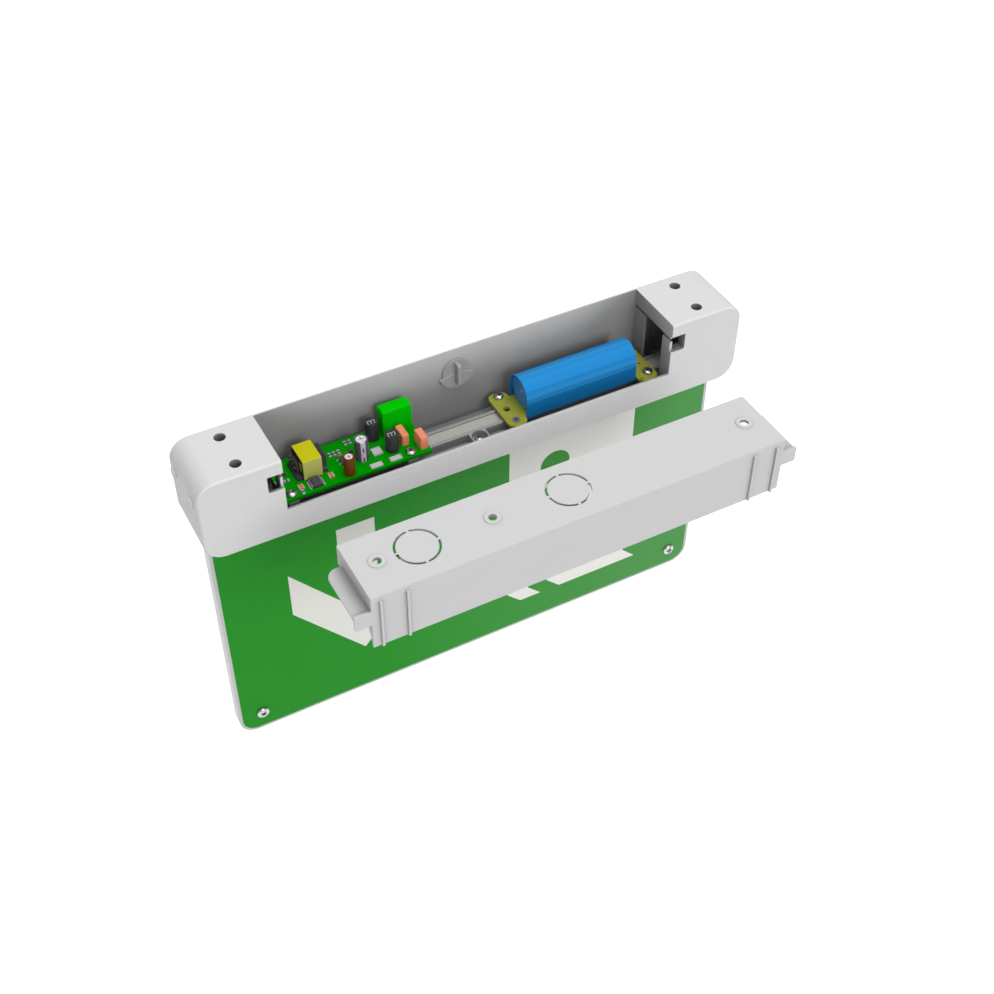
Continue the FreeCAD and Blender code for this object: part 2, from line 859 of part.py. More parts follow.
# Battery pack
def battery_plate():
    # two wide pads joined by the neck that runs under the cell
    left = plate_middle_x - plate_length / 2
    right = plate_middle_x + plate_length / 2
    half = plate_width / 2
    pads = [box(left, neck_left, -half, half, plate_seat, plate_top),
            box(neck_right, right, -half, half, plate_seat, plate_top)]
    pads = [pad.makeFillet(plate_corner, edges_along(pad, "z")) for pad in pads]
    neck = box(left + plate_corner, right - plate_corner, -neck_half_width, neck_half_width,
               plate_seat, plate_top)
    holes = [(place, free_hole_radius) for place in plate_screw_places]
    holes += [(place, plate_small_hole_radius) for place in plate_small_hole_places]
    holes.append((plate_large_hole_place, plate_large_hole_radius))
    holes.append((eyelet_place, eyelet_barrel_radius + tight_clearance))
    tools = []
    for place, radius in holes:
        x, y = on_plate(place)
        tools.append(rod_z(radius, x, y, plate_seat - cut_over, plate_top + cut_over))
    return cut(fuse(pads + [neck]), tools)


def battery_screws():
    places = [on_plate(place) for place in plate_screw_places]
    return screws_down(places, plate_top, plate_screw_length, screw_head_radius, screw_head_height)


def battery_eyelet():
    x, y = on_plate(eyelet_place)
    barrel = rod_z(eyelet_barrel_radius, x, y, plate_seat, plate_top + eyelet_flange_thickness)
    flange = rod_z(eyelet_flange_radius, x, y, plate_top, plate_top + eyelet_flange_thickness)
    bore = rod_z(eyelet_bore_radius, x, y, plate_seat - cut_over, plate_top + cut_over * 2)
    return cut(fuse([barrel, flange]), [bore])


def battery_cell():
    left = cell_middle_x - cell_length / 2
    right = cell_middle_x + cell_length / 2
    shoulder = right - cell_cap_height
    can = rod_x(cell_radius, 0, cell_level, left, shoulder)
    cap = rod_x(cell_cap_radius, 0, cell_level, shoulder, right)
    return fuse([can, cap])


def sleeve_section(half_width, low, length):
    left = cell_middle_x - length / 2
    tube = rod_x(half_width, 0, cell_level, left, left + length)
    skirt = box(left, left + length, -half_width, half_width, low, cell_level)
    return fuse([tube, skirt])


def battery_sleeve():
    inner_half = cell_radius + sleeve_gap
    inner_low = plate_seat - sleeve_gap
    outer = sleeve_section(inner_half + sleeve_thickness, inner_low - sleeve_thickness, sleeve_length)
    return outer.cut(sleeve_section(inner_half, inner_low, sleeve_length + cut_over * 2))


builders = [
    housing, mounting_base, rear_plug,
    front_sheet, light_guide, rear_sheet, legend_film, blade_screws,
    clamp_bar, clamp_bar_screw, blade_keys, light_strip, light_sources,
    driver_board, board_screws, transformer_winding, transformer_bobbin, bridge_rectifier,
    green_capacitor, long_film_capacitor, short_film_capacitor, brown_capacitor, grey_capacitor,
    rear_choke, front_choke, control_chip, small_transistor, square_diode,
    flat_resistors, chip_resistors, chip_capacitors,
    battery_plate, battery_screws, battery_eyelet, battery_cell, battery_sleeve,
]

os.makedirs("parts", exist_ok=True)
for builder in builders:
    shape = builder()
    shape.exportStep("parts/" + builder.__name__ + ".step")
    print(builder.__name__, len(shape.Solids), "solids", round(shape.Volume), "mm3", shape.isValid())
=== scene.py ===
# Emergency exit light with its mounting base drawn off, dressed for the render.
# Metres, in the frame of the solids: X along the housing, -Y is the front, +Z is up.
import bpy
import bmesh
import math
from mathutils import Matrix, Vector


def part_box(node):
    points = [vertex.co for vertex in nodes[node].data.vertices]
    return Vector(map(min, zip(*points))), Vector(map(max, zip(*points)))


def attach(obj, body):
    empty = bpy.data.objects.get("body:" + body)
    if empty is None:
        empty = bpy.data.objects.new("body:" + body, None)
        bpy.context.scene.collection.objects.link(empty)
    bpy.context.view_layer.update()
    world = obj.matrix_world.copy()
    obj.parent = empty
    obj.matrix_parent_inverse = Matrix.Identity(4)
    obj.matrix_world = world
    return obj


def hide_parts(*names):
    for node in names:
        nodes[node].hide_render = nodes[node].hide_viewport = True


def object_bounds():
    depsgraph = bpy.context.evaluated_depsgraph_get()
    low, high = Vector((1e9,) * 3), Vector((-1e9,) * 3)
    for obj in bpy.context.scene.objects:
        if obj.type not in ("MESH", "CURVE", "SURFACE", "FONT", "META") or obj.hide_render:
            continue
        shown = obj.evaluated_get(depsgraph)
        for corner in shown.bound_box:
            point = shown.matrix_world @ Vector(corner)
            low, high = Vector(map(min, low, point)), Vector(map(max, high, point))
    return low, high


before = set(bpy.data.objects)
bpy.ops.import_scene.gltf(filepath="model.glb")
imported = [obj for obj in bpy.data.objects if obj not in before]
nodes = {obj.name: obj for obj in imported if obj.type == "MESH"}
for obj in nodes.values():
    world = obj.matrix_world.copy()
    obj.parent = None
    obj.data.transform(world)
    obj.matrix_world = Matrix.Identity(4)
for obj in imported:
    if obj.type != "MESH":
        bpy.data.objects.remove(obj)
cadLow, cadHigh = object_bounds()
mm = 0.001
lightBody = "light_body"  # every piece made here rides on it
print("frame loaded with", len(nodes), "nodes")


# Colours and node helpers

def paint(red, green, blue):
    # a colour as it is seen on screen, 0 to 255
    def toLinear(value):
        value = value / 255
        return value / 12.92 if value <= 0.04045 else ((value + 0.055) / 1.055) ** 2.4
    return (toLinear(red), toLinear(green), toLinear(blue), 1.0)


def feed(tree, socket, value):
    # a socket takes another node's output or a plain value
    if isinstance(value, bpy.types.NodeSocket):
        tree.links.new(value, socket)
    else:
        socket.default_value = value


def addNode(tree, kind, **values):
    # values are named after the node's inputs or its own settings
    node = tree.nodes.new(kind)
    for key, value in values.items():
        if key in node.inputs.keys():
            feed(tree, node.inputs[key], value)
        else:
            setattr(node, key, value)
    return node


def mathNode(tree, operation, first, second=0.0):
    node = addNode(tree, "ShaderNodeMath", operation=operation)
    for socket, value in zip(node.inputs, (first, second)):
        feed(tree, socket, value)
    return node.outputs[0]


mixSockets = {"factor": 0, "first": 6, "second": 7, "result": 2}  # where a colour Mix node has them


def colourMix(tree, factor, first, second):
    node = addNode(tree, "ShaderNodeMix", data_type="RGBA")
    for key, value in (("factor", factor), ("first", first), ("second", second)):
        feed(tree, node.inputs[mixSockets[key]], value)
    return node.outputs[mixSockets["result"]]


def placeOf(tree):
    return addNode(tree, "ShaderNodeTexCoord").outputs["Object"]


def axesOf(tree, vector):
    return addNode(tree, "ShaderNodeSeparateXYZ", Vector=vector).outputs


def howFar(tree, value, level):
    return mathNode(tree, "ABSOLUTE", mathNode(tree, "SUBTRACT", value, level))


# Shader groups

plainGrey = (0.8, 0.8, 0.8, 1.0)


def newGroup(name, inputs, outputs):
    # inputs are name: (kind, first value), outputs are name: kind
    group = bpy.data.node_groups.new(name, "ShaderNodeTree")
    newSocket = group.interface.new_socket
    for label, (kind, value) in inputs.items():
        newSocket(name=label, in_out="INPUT", socket_type="NodeSocket" + kind).default_value = value
    for label, kind in outputs.items():
        newSocket(name=label, in_out="OUTPUT", socket_type="NodeSocket" + kind)
    return group, group.nodes.new("NodeGroupInput").outputs, group.nodes.new("NodeGroupOutput").inputs


def buildMouldGrain():
    # fine texture of a moulded or coated surface, with soft changes of tone and gloss over it
    group, given, result = newGroup(
        "mouldGrain",
        {"Colour": ("Color", plainGrey), "Tone Spread": ("Float", 0.02), "Grain Scale": ("Float", 3000),
         "Roughness": ("Float", 0.5), "Roughness Spread": ("Float", 0.05)},
        {"Colour": "Color", "Roughness": "Float", "Height": "Float"})
    place = placeOf(group)
    fine = addNode(group, "ShaderNodeTexNoise", Vector=place, Scale=given["Grain Scale"], Detail=2.0,
                   Roughness=0.6).outputs["Fac"]
    soft = addNode(group, "ShaderNodeTexNoise", Vector=place, Scale=28.0, Detail=3.0).outputs["Fac"]
    change = mathNode(group, "SUBTRACT", mathNode(group, "ADD", soft, fine), 1.0)
    tone = mathNode(group, "ADD", mathNode(group, "MULTIPLY", change, given["Tone Spread"]), 1.0)
    tint = addNode(group, "ShaderNodeHueSaturation", Value=tone, Color=given["Colour"])
    gloss = mathNode(group, "MULTIPLY", change, given["Roughness Spread"])
    feed(group, result["Colour"], tint.outputs["Color"])
    feed(group, result["Roughness"], mathNode(group, "ADD", given["Roughness"], gloss))
    feed(group, result["Height"], fine)
    return group


def buildLayFold():
    # long shallow waves along X, as in shrunk film or wound tape
    group, given, result = newGroup(
        "layFold",
        {"Line Scale": ("Float", 300.0), "Distortion": ("Float", 2.0),
         "Stretch": ("Vector", (1.0, 1.0, 1.0))},
        {"Height": "Float"})
    turn = addNode(group, "ShaderNodeMapping", Vector=placeOf(group), Scale=given["Stretch"])
    wave = addNode(group, "ShaderNodeTexWave", wave_type="BANDS", bands_direction="Z", Detail=2.0,
                   Vector=turn.outputs["Vector"], Scale=given["Line Scale"], Distortion=given["Distortion"])
    feed(group, result["Height"], wave.outputs["Fac"])
    return group


def buildDeepShade():
    # darkens a colour in deep and narrow places, as far out along X as the half length
    group, given, result = newGroup(
        "deepShade",
        {"Colour": ("Color", plainGrey), "Reach": ("Float", 0.04), "Strength": ("Float", 0.5),
         "Least": ("Float", 0.3), "Half Length": ("Float", 1.0)},
        {"Colour": "Color"})
    opened = addNode(group, "ShaderNodeAmbientOcclusion", samples=24, only_local=True,
                     Distance=given["Reach"])
    away = mathNode(group, "ABSOLUTE", axesOf(group, placeOf(group))["X"])
    within = mathNode(group, "LESS_THAN", away, given["Half Length"])
    closed = mathNode(group, "MULTIPLY", mathNode(group, "SUBTRACT", 1.0, opened.outputs["AO"]), within)
    kept = mathNode(group, "SUBTRACT", 1.0, mathNode(group, "MULTIPLY", closed, given["Strength"]))
    kept = mathNode(group, "MAXIMUM", kept, given["Least"])
    shade = addNode(group, "ShaderNodeHueSaturation", Value=kept, Color=given["Colour"])
    feed(group, result["Colour"], shade.outputs["Color"])
    return group


def buildEndFade():
    # painted light: a colour turns part of the way into another along X, as a painted sheen on the green
    # print and painted light on the white one
    group, given, result = newGroup(
        "endFade",
        {"Colour": ("Color", plainGrey), "Far Colour": ("Color", plainGrey), "From": ("Float", 0.0),
         "To": ("Float", 0.1), "Share": ("Float", 0.2)},
        {"Colour": "Color"})
    fade = addNode(group, "ShaderNodeMapRange", Value=axesOf(group, placeOf(group))["X"],
                   **{"From Min": given["From"], "From Max": given["To"], "To Max": given["Share"]})
    mixed = colourMix(group, fade.outputs["Result"], given["Colour"], given["Far Colour"])
    feed(group, result["Colour"], mixed)
    return group


def buildCalmTint():
    # takes saturation out of a colour
    group, given, result = newGroup(
        "calmTint", {"Colour": ("Color", plainGrey), "Calm": ("Float", 0.0)}, {"Colour": "Color"})
    kept = mathNode(group, "SUBTRACT", 1.0, given["Calm"])
    tint = addNode(group, "ShaderNodeHueSaturation", Saturation=kept, Color=given["Colour"])
    feed(group, result["Colour"], tint.outputs["Color"])
    return group


mouldGrain = buildMouldGrain()
layFold = buildLayFold()
deepShade = buildDeepShade()
endFade = buildEndFade()
calmTint = buildCalmTint()
print("shader groups built")


# Materials: a Principled shader over the mould grain, with a cover where a finish shows more

finishDefaults = {"roughness": 0.5, "roughnessSpread": 0.08, "toneSpread": 0.03, "grainScale": 2500,
                  "bumpStrength": 0.12, "bumpDepth": 0.03 * mm, "metallic": 0.0, "ior": 1.46, "coat": 0.0,
                  "coatRoughness": 0.1, "deepLeast": 0.3, "deepHalf": 1.0}
calmShare = 0.85  # how far the bounced light of a strong colour is calmed


def throughGroup(tree, group, colour, values):
    # a colour goes through one of the groups that change it
    return addNode(tree, "ShaderNodeGroup", node_tree=group, Colour=colour, **values).outputs["Colour"]


def addFolds(tree, settings, height):
    # lays the fold group's waves over the grain's height
    fold = addNode(tree, "ShaderNodeGroup", node_tree=layFold, Distortion=settings["distortion"],
                   Stretch=settings["stretch"], **{"Line Scale": settings["lineScale"]})
    waves = mathNode(tree, "MULTIPLY", fold.outputs["Height"], settings["foldShare"])
    return mathNode(tree, "ADD", waves, height)


def calmBounce(tree, settings, colour):
    # keeps a strong colour from tinting what stands round it
    bounced = addNode(tree, "ShaderNodeLightPath").outputs["Is Diffuse Ray"]
    calm = mathNode(tree, "MULTIPLY", bounced, settings["calm"])
    return throughGroup(tree, calmTint, colour, {"Calm": calm})


def makeFinish(name, cover=None, **chosen):
    # cover takes the colour and the height so far, and gives both back changed
    settings = {**finishDefaults, **chosen}
    material = bpy.data.materials.new(name)
    material.use_nodes = True
    tree = material.node_tree
    grain = addNode(tree, "ShaderNodeGroup", node_tree=mouldGrain, Colour=settings["colour"],
                    Roughness=settings["roughness"],
                    **{"Tone Spread": settings["toneSpread"], "Grain Scale": settings["grainScale"],
                       "Roughness Spread": settings["roughnessSpread"]}).outputs
    colour, height = grain["Colour"], grain["Height"]
    if "deepStrength" in settings:
        colour = throughGroup(tree, deepShade, colour,
                              {"Reach": settings["deepReach"], "Strength": settings["deepStrength"],
                               "Least": settings["deepLeast"], "Half Length": settings["deepHalf"]})
    # painted light along X, where a finish asks for it
    if "fadeShare" in settings:
        colour = throughGroup(tree, endFade, colour,
                              {"From": settings["fadeFrom"], "To": settings["fadeTo"],
                               "Share": settings["fadeShare"], "Far Colour": settings["fadeColour"]})
    if "foldShare" in settings:
        height = addFolds(tree, settings, height)
    if cover:
        colour, height = cover(tree, settings, colour, height)
    if "calm" in settings:
        colour = calmBounce(tree, settings, colour)
    bump = addNode(tree, "ShaderNodeBump", Strength=settings["bumpStrength"], Distance=settings["bumpDepth"],
                   Height=height)
    shaderInputs = {
        "Base Color": colour, "Roughness": grain["Roughness"], "Normal": bump.outputs["Normal"],
        "Metallic": settings["metallic"], "IOR": settings["ior"], "Coat Weight": settings["coat"],
        "Coat Roughness": settings["coatRoughness"]}
    for label, value in shaderInputs.items():
        feed(tree, tree.nodes["Principled BSDF"].inputs[label], value)
    return material


def frontTint(tree, settings, colour, height):
    # painted light: the tape is painted paler on the faces that look to the front
    normal = addNode(tree, "ShaderNodeTexCoord").outputs["Normal"]
    front = mathNode(tree, "LESS_THAN", axesOf(tree, normal)["Y"], settings["frontLimit"])
    return colourMix(tree, front, colour, settings["frontColour"]), height


def sleeveCreases(tree, settings, colour, height):
    # painted highlights and painted shade on shrink film: lighter and darker bands along it, a darker colour
    # below the line where its curve runs into the flat sides, and a painted highlight along that line
    axes = axesOf(tree, placeOf(tree))
    for axis, level, half, share, tint in settings["bands"]:
        off = mathNode(tree, "DIVIDE", howFar(tree, axes[axis], level), half)
        near = mathNode(tree, "MAXIMUM", mathNode(tree, "SUBTRACT", 1.0, off), 0.0)
        colour = colourMix(tree, mathNode(tree, "MULTIPLY", near, share), colour, tint)
    level = settings["creaseLevel"]
    colour = colourMix(tree, mathNode(tree, "LESS_THAN", axes["Z"], level), colour, settings["lowColour"])
    crease = mathNode(tree, "LESS_THAN", howFar(tree, axes["Z"], level), settings["creaseHalf"])
    shown = mathNode(tree, "MULTIPLY", crease, settings["creaseShare"])
    return colourMix(tree, shown, colour, settings["creaseColour"]), height


def copperRuns(tree, settings, colour, height):
    # faint copper runs under the solder resist
    pattern = addNode(tree, "ShaderNodeTexBrick", offset=0.37, squash=0.6, squash_frequency=3, Bias=0.0,
                      Vector=placeOf(tree), Scale=settings["runScale"],
                      **{"Mortar Size": settings["runWidth"], "Brick Width": 0.9, "Row Height": 0.28})
    runs = pattern.outputs["Fac"]
    shown = mathNode(tree, "MULTIPLY", runs, settings["runShow"])
    return colourMix(tree, shown, colour, settings["runColour"]), mathNode(tree, "ADD", runs, height)


def glassWeave(tree, settings, colour, height):
    # two crossed waves take the place of the grain's height
    place = placeOf(tree)
    waves = [addNode(tree, "ShaderNodeTexWave", bands_direction=direction, Vector=place, Distortion=0.6,
                     Scale=settings["weaveScale"]).outputs["Fac"] for direction in ("X", "Y")]
    weave = mathNode(tree, "MULTIPLY", *waves)
    shown = mathNode(tree, "MULTIPLY", weave, settings["weaveShow"])
    return colourMix(tree, shown, colour, settings["weaveColour"]), weave


def dashedStripe(tree, settings, colour, height):
    # a pale stripe down one side of a sleeve, with dark dashes in it
    axes = axesOf(tree, placeOf(tree))
    axisX, axisY = settings["axis"]
    across = howFar(tree, axes["X"], axisX + settings["stripeOffset"])
    facing = mathNode(tree, "LESS_THAN", axes["Y"], axisY)
    stripe = mathNode(tree, "MULTIPLY", mathNode(tree, "LESS_THAN", across, settings["stripeHalf"]), facing)
    along = mathNode(tree, "FRACT", mathNode(tree, "MULTIPLY", axes["Z"], 1 / settings["dashPitch"]))
    dash = mathNode(tree, "MULTIPLY", mathNode(tree, "LESS_THAN", across, settings["dashHalf"]),
                    mathNode(tree, "LESS_THAN", along, settings["dashShare"]))
    pale = mathNode(tree, "MULTIPLY", stripe, mathNode(tree, "SUBTRACT", 1.0, dash))
    return colourMix(tree, pale, colour, settings["stripeColour"]), height


def endSpot(tree, settings, colour, height):
    # a lighter spot in the middle of each end of the cell
    axes = axesOf(tree, placeOf(tree))
    up = mathNode(tree, "SUBTRACT", axes["Z"], settings["axisLevel"])
    squares = mathNode(tree, "ADD", mathNode(tree, "MULTIPLY", axes["Y"], axes["Y"]),
                       mathNode(tree, "MULTIPLY", up, up))
    spot = mathNode(tree, "LESS_THAN", squares, settings["spotRadius"] ** 2)
    return colourMix(tree, spot, colour, settings["spotColour"]), height


def middleOf(nodeName):
    low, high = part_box(nodeName)
    return (low + high) / 2


finishes = {
    "housing": makeFinish(
        "housingPlastic", colour=paint(214, 214, 214), roughness=0.52, toneSpread=0.015, bumpStrength=0.1,
        deepStrength=1.9, deepReach=80 * mm, deepLeast=0.4, deepHalf=154 * mm),
    # painted shade: the housing's plastic painted darker, for the window linings and hole collars
    "socket": makeFinish("socketPlastic", colour=paint(128, 128, 128), roughness=0.6, bumpStrength=0.1),
    "mountingBase": makeFinish(
        "mountingBasePlastic", colour=paint(203, 203, 203), roughness=0.55, toneSpread=0.02,
        bumpStrength=0.14, grainScale=1800, deepStrength=0.8, deepReach=30 * mm),
    # painted shade: the plug deep inside the housing is painted darker than the housing's plastic
    "plug": makeFinish("plugPlastic", colour=paint(156, 156, 156)),
    "clampBar": makeFinish("clampBarPlastic", colour=paint(206, 207, 207), roughness=0.6),
    "opal": makeFinish(
        "opalSheet", colour=paint(193, 195, 194), roughness=0.35, toneSpread=0.01, bumpStrength=0.03),
    "guide": makeFinish(
        "guideAcrylic", colour=paint(180, 186, 184), roughness=0.3, toneSpread=0.01, bumpStrength=0.02,
        coat=0.15),
    # painted sheen: the green print turns paler towards the right end
    "filmGreen": makeFinish(
        "printedGreen", colour=paint(34, 142, 34), ior=1.2, toneSpread=0.02, bumpStrength=0.04,
        grainScale=900, fadeFrom=-60 * mm, fadeTo=150 * mm, fadeShare=0.08, fadeColour=paint(240, 245, 240),
        calm=calmShare),
    # painted light: the white print turns paler towards the right, lifting the shade cast by the housing and
    # base
    "filmWhite": makeFinish(
        "printedWhite", colour=paint(229, 230, 223), ior=1.2, toneSpread=0.01, bumpStrength=0.04,
        grainScale=900, fadeFrom=-40 * mm, fadeTo=60 * mm, fadeShare=0.4, fadeColour=paint(252, 252, 247)),
    "steel": makeFinish(
        "screwSteel", colour=paint(192, 190, 190), roughness=0.26, roughnessSpread=0.15, metallic=1.0,
        bumpStrength=0.05, grainScale=1400),
    "board": makeFinish(
        "boardResist", copperRuns, colour=paint(0, 144, 0), ior=1.08, bumpStrength=0.15, runScale=160,
        runWidth=0.018, runShow=0.1, runColour=paint(0, 132, 10), calm=calmShare),
    # painted light: the tape's front faces are painted paler
    "tape": makeFinish(
        "windingTape", frontTint, colour=paint(194, 190, 16), roughness=0.45, ior=1.2, bumpStrength=0.25,
        lineScale=420, distortion=0.3, stretch=(1.0, 1.0, 0.0), foldShare=0.5, frontLimit=-0.8,
        frontColour=paint(182, 184, 98), calm=calmShare),
    "blackMoulding": makeFinish(
        "blackMoulding", colour=paint(62, 60, 66), roughness=0.48, grainScale=4200, bumpStrength=0.25),
    "ferrite": makeFinish(
        "ferriteCore", colour=paint(30, 29, 32), roughness=0.62, grainScale=5200, bumpStrength=0.3),
    "greenCase": makeFinish("greenCase", colour=paint(0, 188, 0), ior=1.1, bumpStrength=0.1, calm=calmShare),
    "salmon": makeFinish(
        "salmonLacquer", colour=paint(233, 138, 104), roughness=0.36, grainScale=1500, bumpStrength=0.35,
        toneSpread=0.08),
    "brownSleeve": makeFinish(
        "brownSleeve", colour=paint(100, 54, 12), roughness=0.4, ior=1.2, bumpStrength=0.2, lineScale=260,
        distortion=1.5, stretch=(1.0, 1.0, 0.3), foldShare=0.3),
    "greySleeve": makeFinish(
        "greySleeve", dashedStripe, colour=paint(84, 80, 92), roughness=0.4, ior=1.25,
        axis=middleOf("grey_capacitor").xy, stripeOffset=-0.45 * mm, stripeHalf=1.3 * mm,
        stripeColour=paint(186, 184, 188), dashPitch=6.4 * mm, dashShare=0.45, dashHalf=0.4 * mm),
    "blackSleeve": makeFinish("blackSleeve", colour=paint(50, 50, 54), ior=1.3, grainScale=3200),
    # painted reflection: the pale bars on the black cans' tops
    "print": makeFinish("whitePrint", colour=paint(172, 172, 172)),
    "canTop": makeFinish(
        "canTopAluminium", colour=paint(226, 224, 228), metallic=0.2, grainScale=1500, toneSpread=0.3,
        bumpStrength=0.3),
    "tin": makeFinish(
        "tinnedEnds", colour=paint(206, 200, 208), roughness=0.36, metallic=0.5, bumpStrength=0.3,
        grainScale=3600),
    "chipEnds": makeFinish("chipEnds", colour=paint(192, 160, 196), metallic=0.1, grainScale=3600),
    "greyCeramic": makeFinish("greyCeramic", colour=paint(84, 62, 92), roughness=0.55, grainScale=4000),
    "paleCeramic": makeFinish("paleCeramic", colour=paint(196, 184, 198), grainScale=4000),
    "tanCeramic": makeFinish("tanCeramic", colour=paint(184, 122, 2), grainScale=4000),
    "plate": makeFinish(
        "plateLaminate", glassWeave, colour=paint(150, 153, 58), ior=1.25, weaveScale=260, weaveShow=0.35,
        weaveColour=paint(140, 143, 58), calm=calmShare),
    # painted highlights and painted shade along the battery sleeve
    "sleeveBlue": makeFinish(
        "batterySleeve", sleeveCreases, colour=paint(22, 132, 200), roughness=0.45, ior=1.25, lineScale=60,
        distortion=3.0, stretch=(0.12, 1.0, 1.0), foldShare=0.9, lowColour=paint(16, 120, 186),
        creaseLevel=-28.3 * mm, creaseHalf=0.22 * mm, creaseShare=0.5, creaseColour=paint(90, 170, 225),
        bands=(("Z", -22.4 * mm, 1.0 * mm, 0.75, paint(0, 116, 182)),
               ("Z", -25.0 * mm, 0.8 * mm, 0.3, paint(92, 150, 190)),
               ("Y", 0.4 * mm, 1.8 * mm, 0.16, paint(120, 172, 200))), calm=calmShare),
    "cellWrap": makeFinish(
        "cellWrap", endSpot, colour=paint(48, 132, 200), roughness=0.4, axisLevel=middleOf("battery_cell").z,
        spotRadius=1.2 * mm, spotColour=paint(110, 150, 190)),
    "eyelet": makeFinish("eyeletMetal", colour=paint(176, 170, 178), roughness=0.3, metallic=0.9),
    # painted shade: the strip's milky colour is painted darker, deep in the channel
    "milkyStrip": makeFinish("milkyStrip", colour=paint(174, 175, 166), ior=1.3),
    "lightResin": makeFinish("lightResin", colour=paint(232, 214, 120), roughness=0.25),
}
print("finishes made:", len(finishes))


# Mesh helpers

weldReach = 0.001 * mm


def addObject(name, data):
    made = bpy.data.objects.new(name, data)
    bpy.context.scene.collection.objects.link(made)
    return made


def addModifier(thing, name, kind, **values):
    modifier = thing.modifiers.new(name, kind)
    for key, value in values.items():
        setattr(modifier, key, value)


def solidBoxes(nodeName):
    # the box of each separate solid in a node, from left to right
    bm = bmesh.new()
    bm.from_mesh(nodes[nodeName].data)
    bmesh.ops.remove_doubles(bm, verts=bm.verts, dist=weldReach)
    waiting = set(bm.verts)
    boxes = []
    while waiting:
        island = [waiting.pop()]
        for vertex in island:
            for edge in vertex.link_edges:
                other = edge.other_vert(vertex)
                if other in waiting:
                    waiting.remove(other)
                    island.append(other)
        low = Vector([min(vertex.co[axis] for vertex in island) for axis in range(3)])
        high = Vector([max(vertex.co[axis] for vertex in island) for axis in range(3)])
        boxes.append((low, high))
    bm.free()
    return sorted(boxes, key=lambda pair: pair[0].x)


def dress(mesh, finish):
    mesh.materials.clear()
    mesh.materials.append(finishes[finish])


def meshFrom(name, bm):
    bmesh.ops.recalc_face_normals(bm, faces=bm.faces)
    mesh = bpy.data.meshes.new(name)
    bm.to_mesh(mesh)
    bm.free()
    return mesh


def finishPiece(name, shape, finish, smoothAngle=35):
    # shape is a mesh, or a bmesh that ends here
    mesh = shape if isinstance(shape, bpy.types.Mesh) else meshFrom(name, shape)
    mesh.shade_smooth()
    mesh.set_sharp_from_angle(angle=math.radians(smoothAngle))
    dress(mesh, finish)
    piece = addObject(name, mesh)
    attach(piece, lightBody)
    return piece


def addBlock(bm, low, high, bevel=0.0):
    low, high = Vector(low), Vector(high)
    made = bmesh.ops.create_cube(bm, size=1.0)["verts"]
    size = high - low
    for vertex in made:
        vertex.co = low + Vector((size[axis] * (vertex.co[axis] + 0.5) for axis in range(3)))
    if bevel:
        edges = list({edge for vertex in made for edge in vertex.link_edges})
        bmesh.ops.bevel(bm, geom=edges, offset=bevel, segments=2, profile=0.6, affect="EDGES")


def addLathe(bm, profile, centre, axis, steps):
    # turns (radius, height) points round an axis through centre; a point on the axis is one vertex
    centre = Vector(centre)
    turn = Vector((0, 0, 1)).rotation_difference(Vector(axis)).to_matrix()
    angles = [2 * math.pi * step / steps for step in range(steps)]
    rings = []
    for radius, height in profile:
        points = [(radius * math.cos(angle), radius * math.sin(angle), height) for angle in angles]
        if radius == 0:
            points = [(0, 0, height)]
        rings.append([bm.verts.new(centre + turn @ Vector(point)) for point in points])
    for lower, upper in zip(rings, rings[1:]):
        for step in range(steps):
            after = (step + 1) % steps
            corners = [lower[step % len(lower)], lower[after % len(lower)],
                       upper[after % len(upper)], upper[step % len(upper)]]
            corners = list(dict.fromkeys(corners))
            if len(corners) > 2:
                bm.faces.new(corners)


def addPrism(bm, corners, shift):
    # a flat outline, carried along shift
    near = [bm.verts.new(corner) for corner in corners]
    far = [bm.verts.new(vertex.co + Vector(shift)) for vertex in near]
    bm.faces.new(near)
    bm.faces.new(list(reversed(far)))
    for step in range(len(corners)):
        after = (step + 1) % len(corners)
        bm.faces.new((near[step], far[step], far[after], near[after]))


def booleanMesh(mesh, toolMesh, operation):
    holder, tool = addObject("holder", mesh), addObject("tool", toolMesh)
    addModifier(holder, "cut", "BOOLEAN", operation=operation, solver="EXACT", use_self=True, object=tool)
    bpy.context.view_layer.update()
    evaluated = holder.evaluated_get(bpy.context.evaluated_depsgraph_get())
    result = bpy.data.meshes.new_from_object(evaluated)
    for thing in (holder, tool):
        bpy.data.objects.remove(thing)
    return result


# Nodes shown as they are, and fine rounding that catches the light along the moulded edges

dressed = {
    "housing": "housing", "mounting_base": "mountingBase", "rear_plug": "plug", "clamp_bar": "clampBar",
    "front_sheet": "opal", "light_guide": "guide", "rear_sheet": "opal", "legend_film": "filmGreen",
    "light_strip": "milkyStrip", "light_sources": "lightResin", "blade_keys": "steel",
    "driver_board": "board", "transformer_bobbin": "blackMoulding", "bridge_rectifier": "blackMoulding",
    "brown_capacitor": "brownSleeve", "grey_capacitor": "greySleeve", "rear_choke": "blackSleeve",
    "front_choke": "blackSleeve", "control_chip": "blackMoulding", "small_transistor": "blackMoulding",
    "square_diode": "paleCeramic", "flat_resistors": "paleCeramic", "chip_resistors": "greyCeramic",
    "chip_capacitors": "tanCeramic", "battery_plate": "plate", "battery_eyelet": "eyelet",
    "battery_cell": "cellWrap", "battery_sleeve": "sleeveBlue", "transformer_winding": "tape",
    "green_capacitor": "greenCase", "long_film_capacitor": "salmon", "short_film_capacitor": "salmon",
}
rounding = {"widths": {"housing": 0.25 * mm, "mounting_base": 0.2 * mm, "rear_plug": 0.2 * mm},
            "segments": 2, "weld": 0.002 * mm, "flatWithin": math.radians(0.5), "sharpFrom": math.radians(32)}


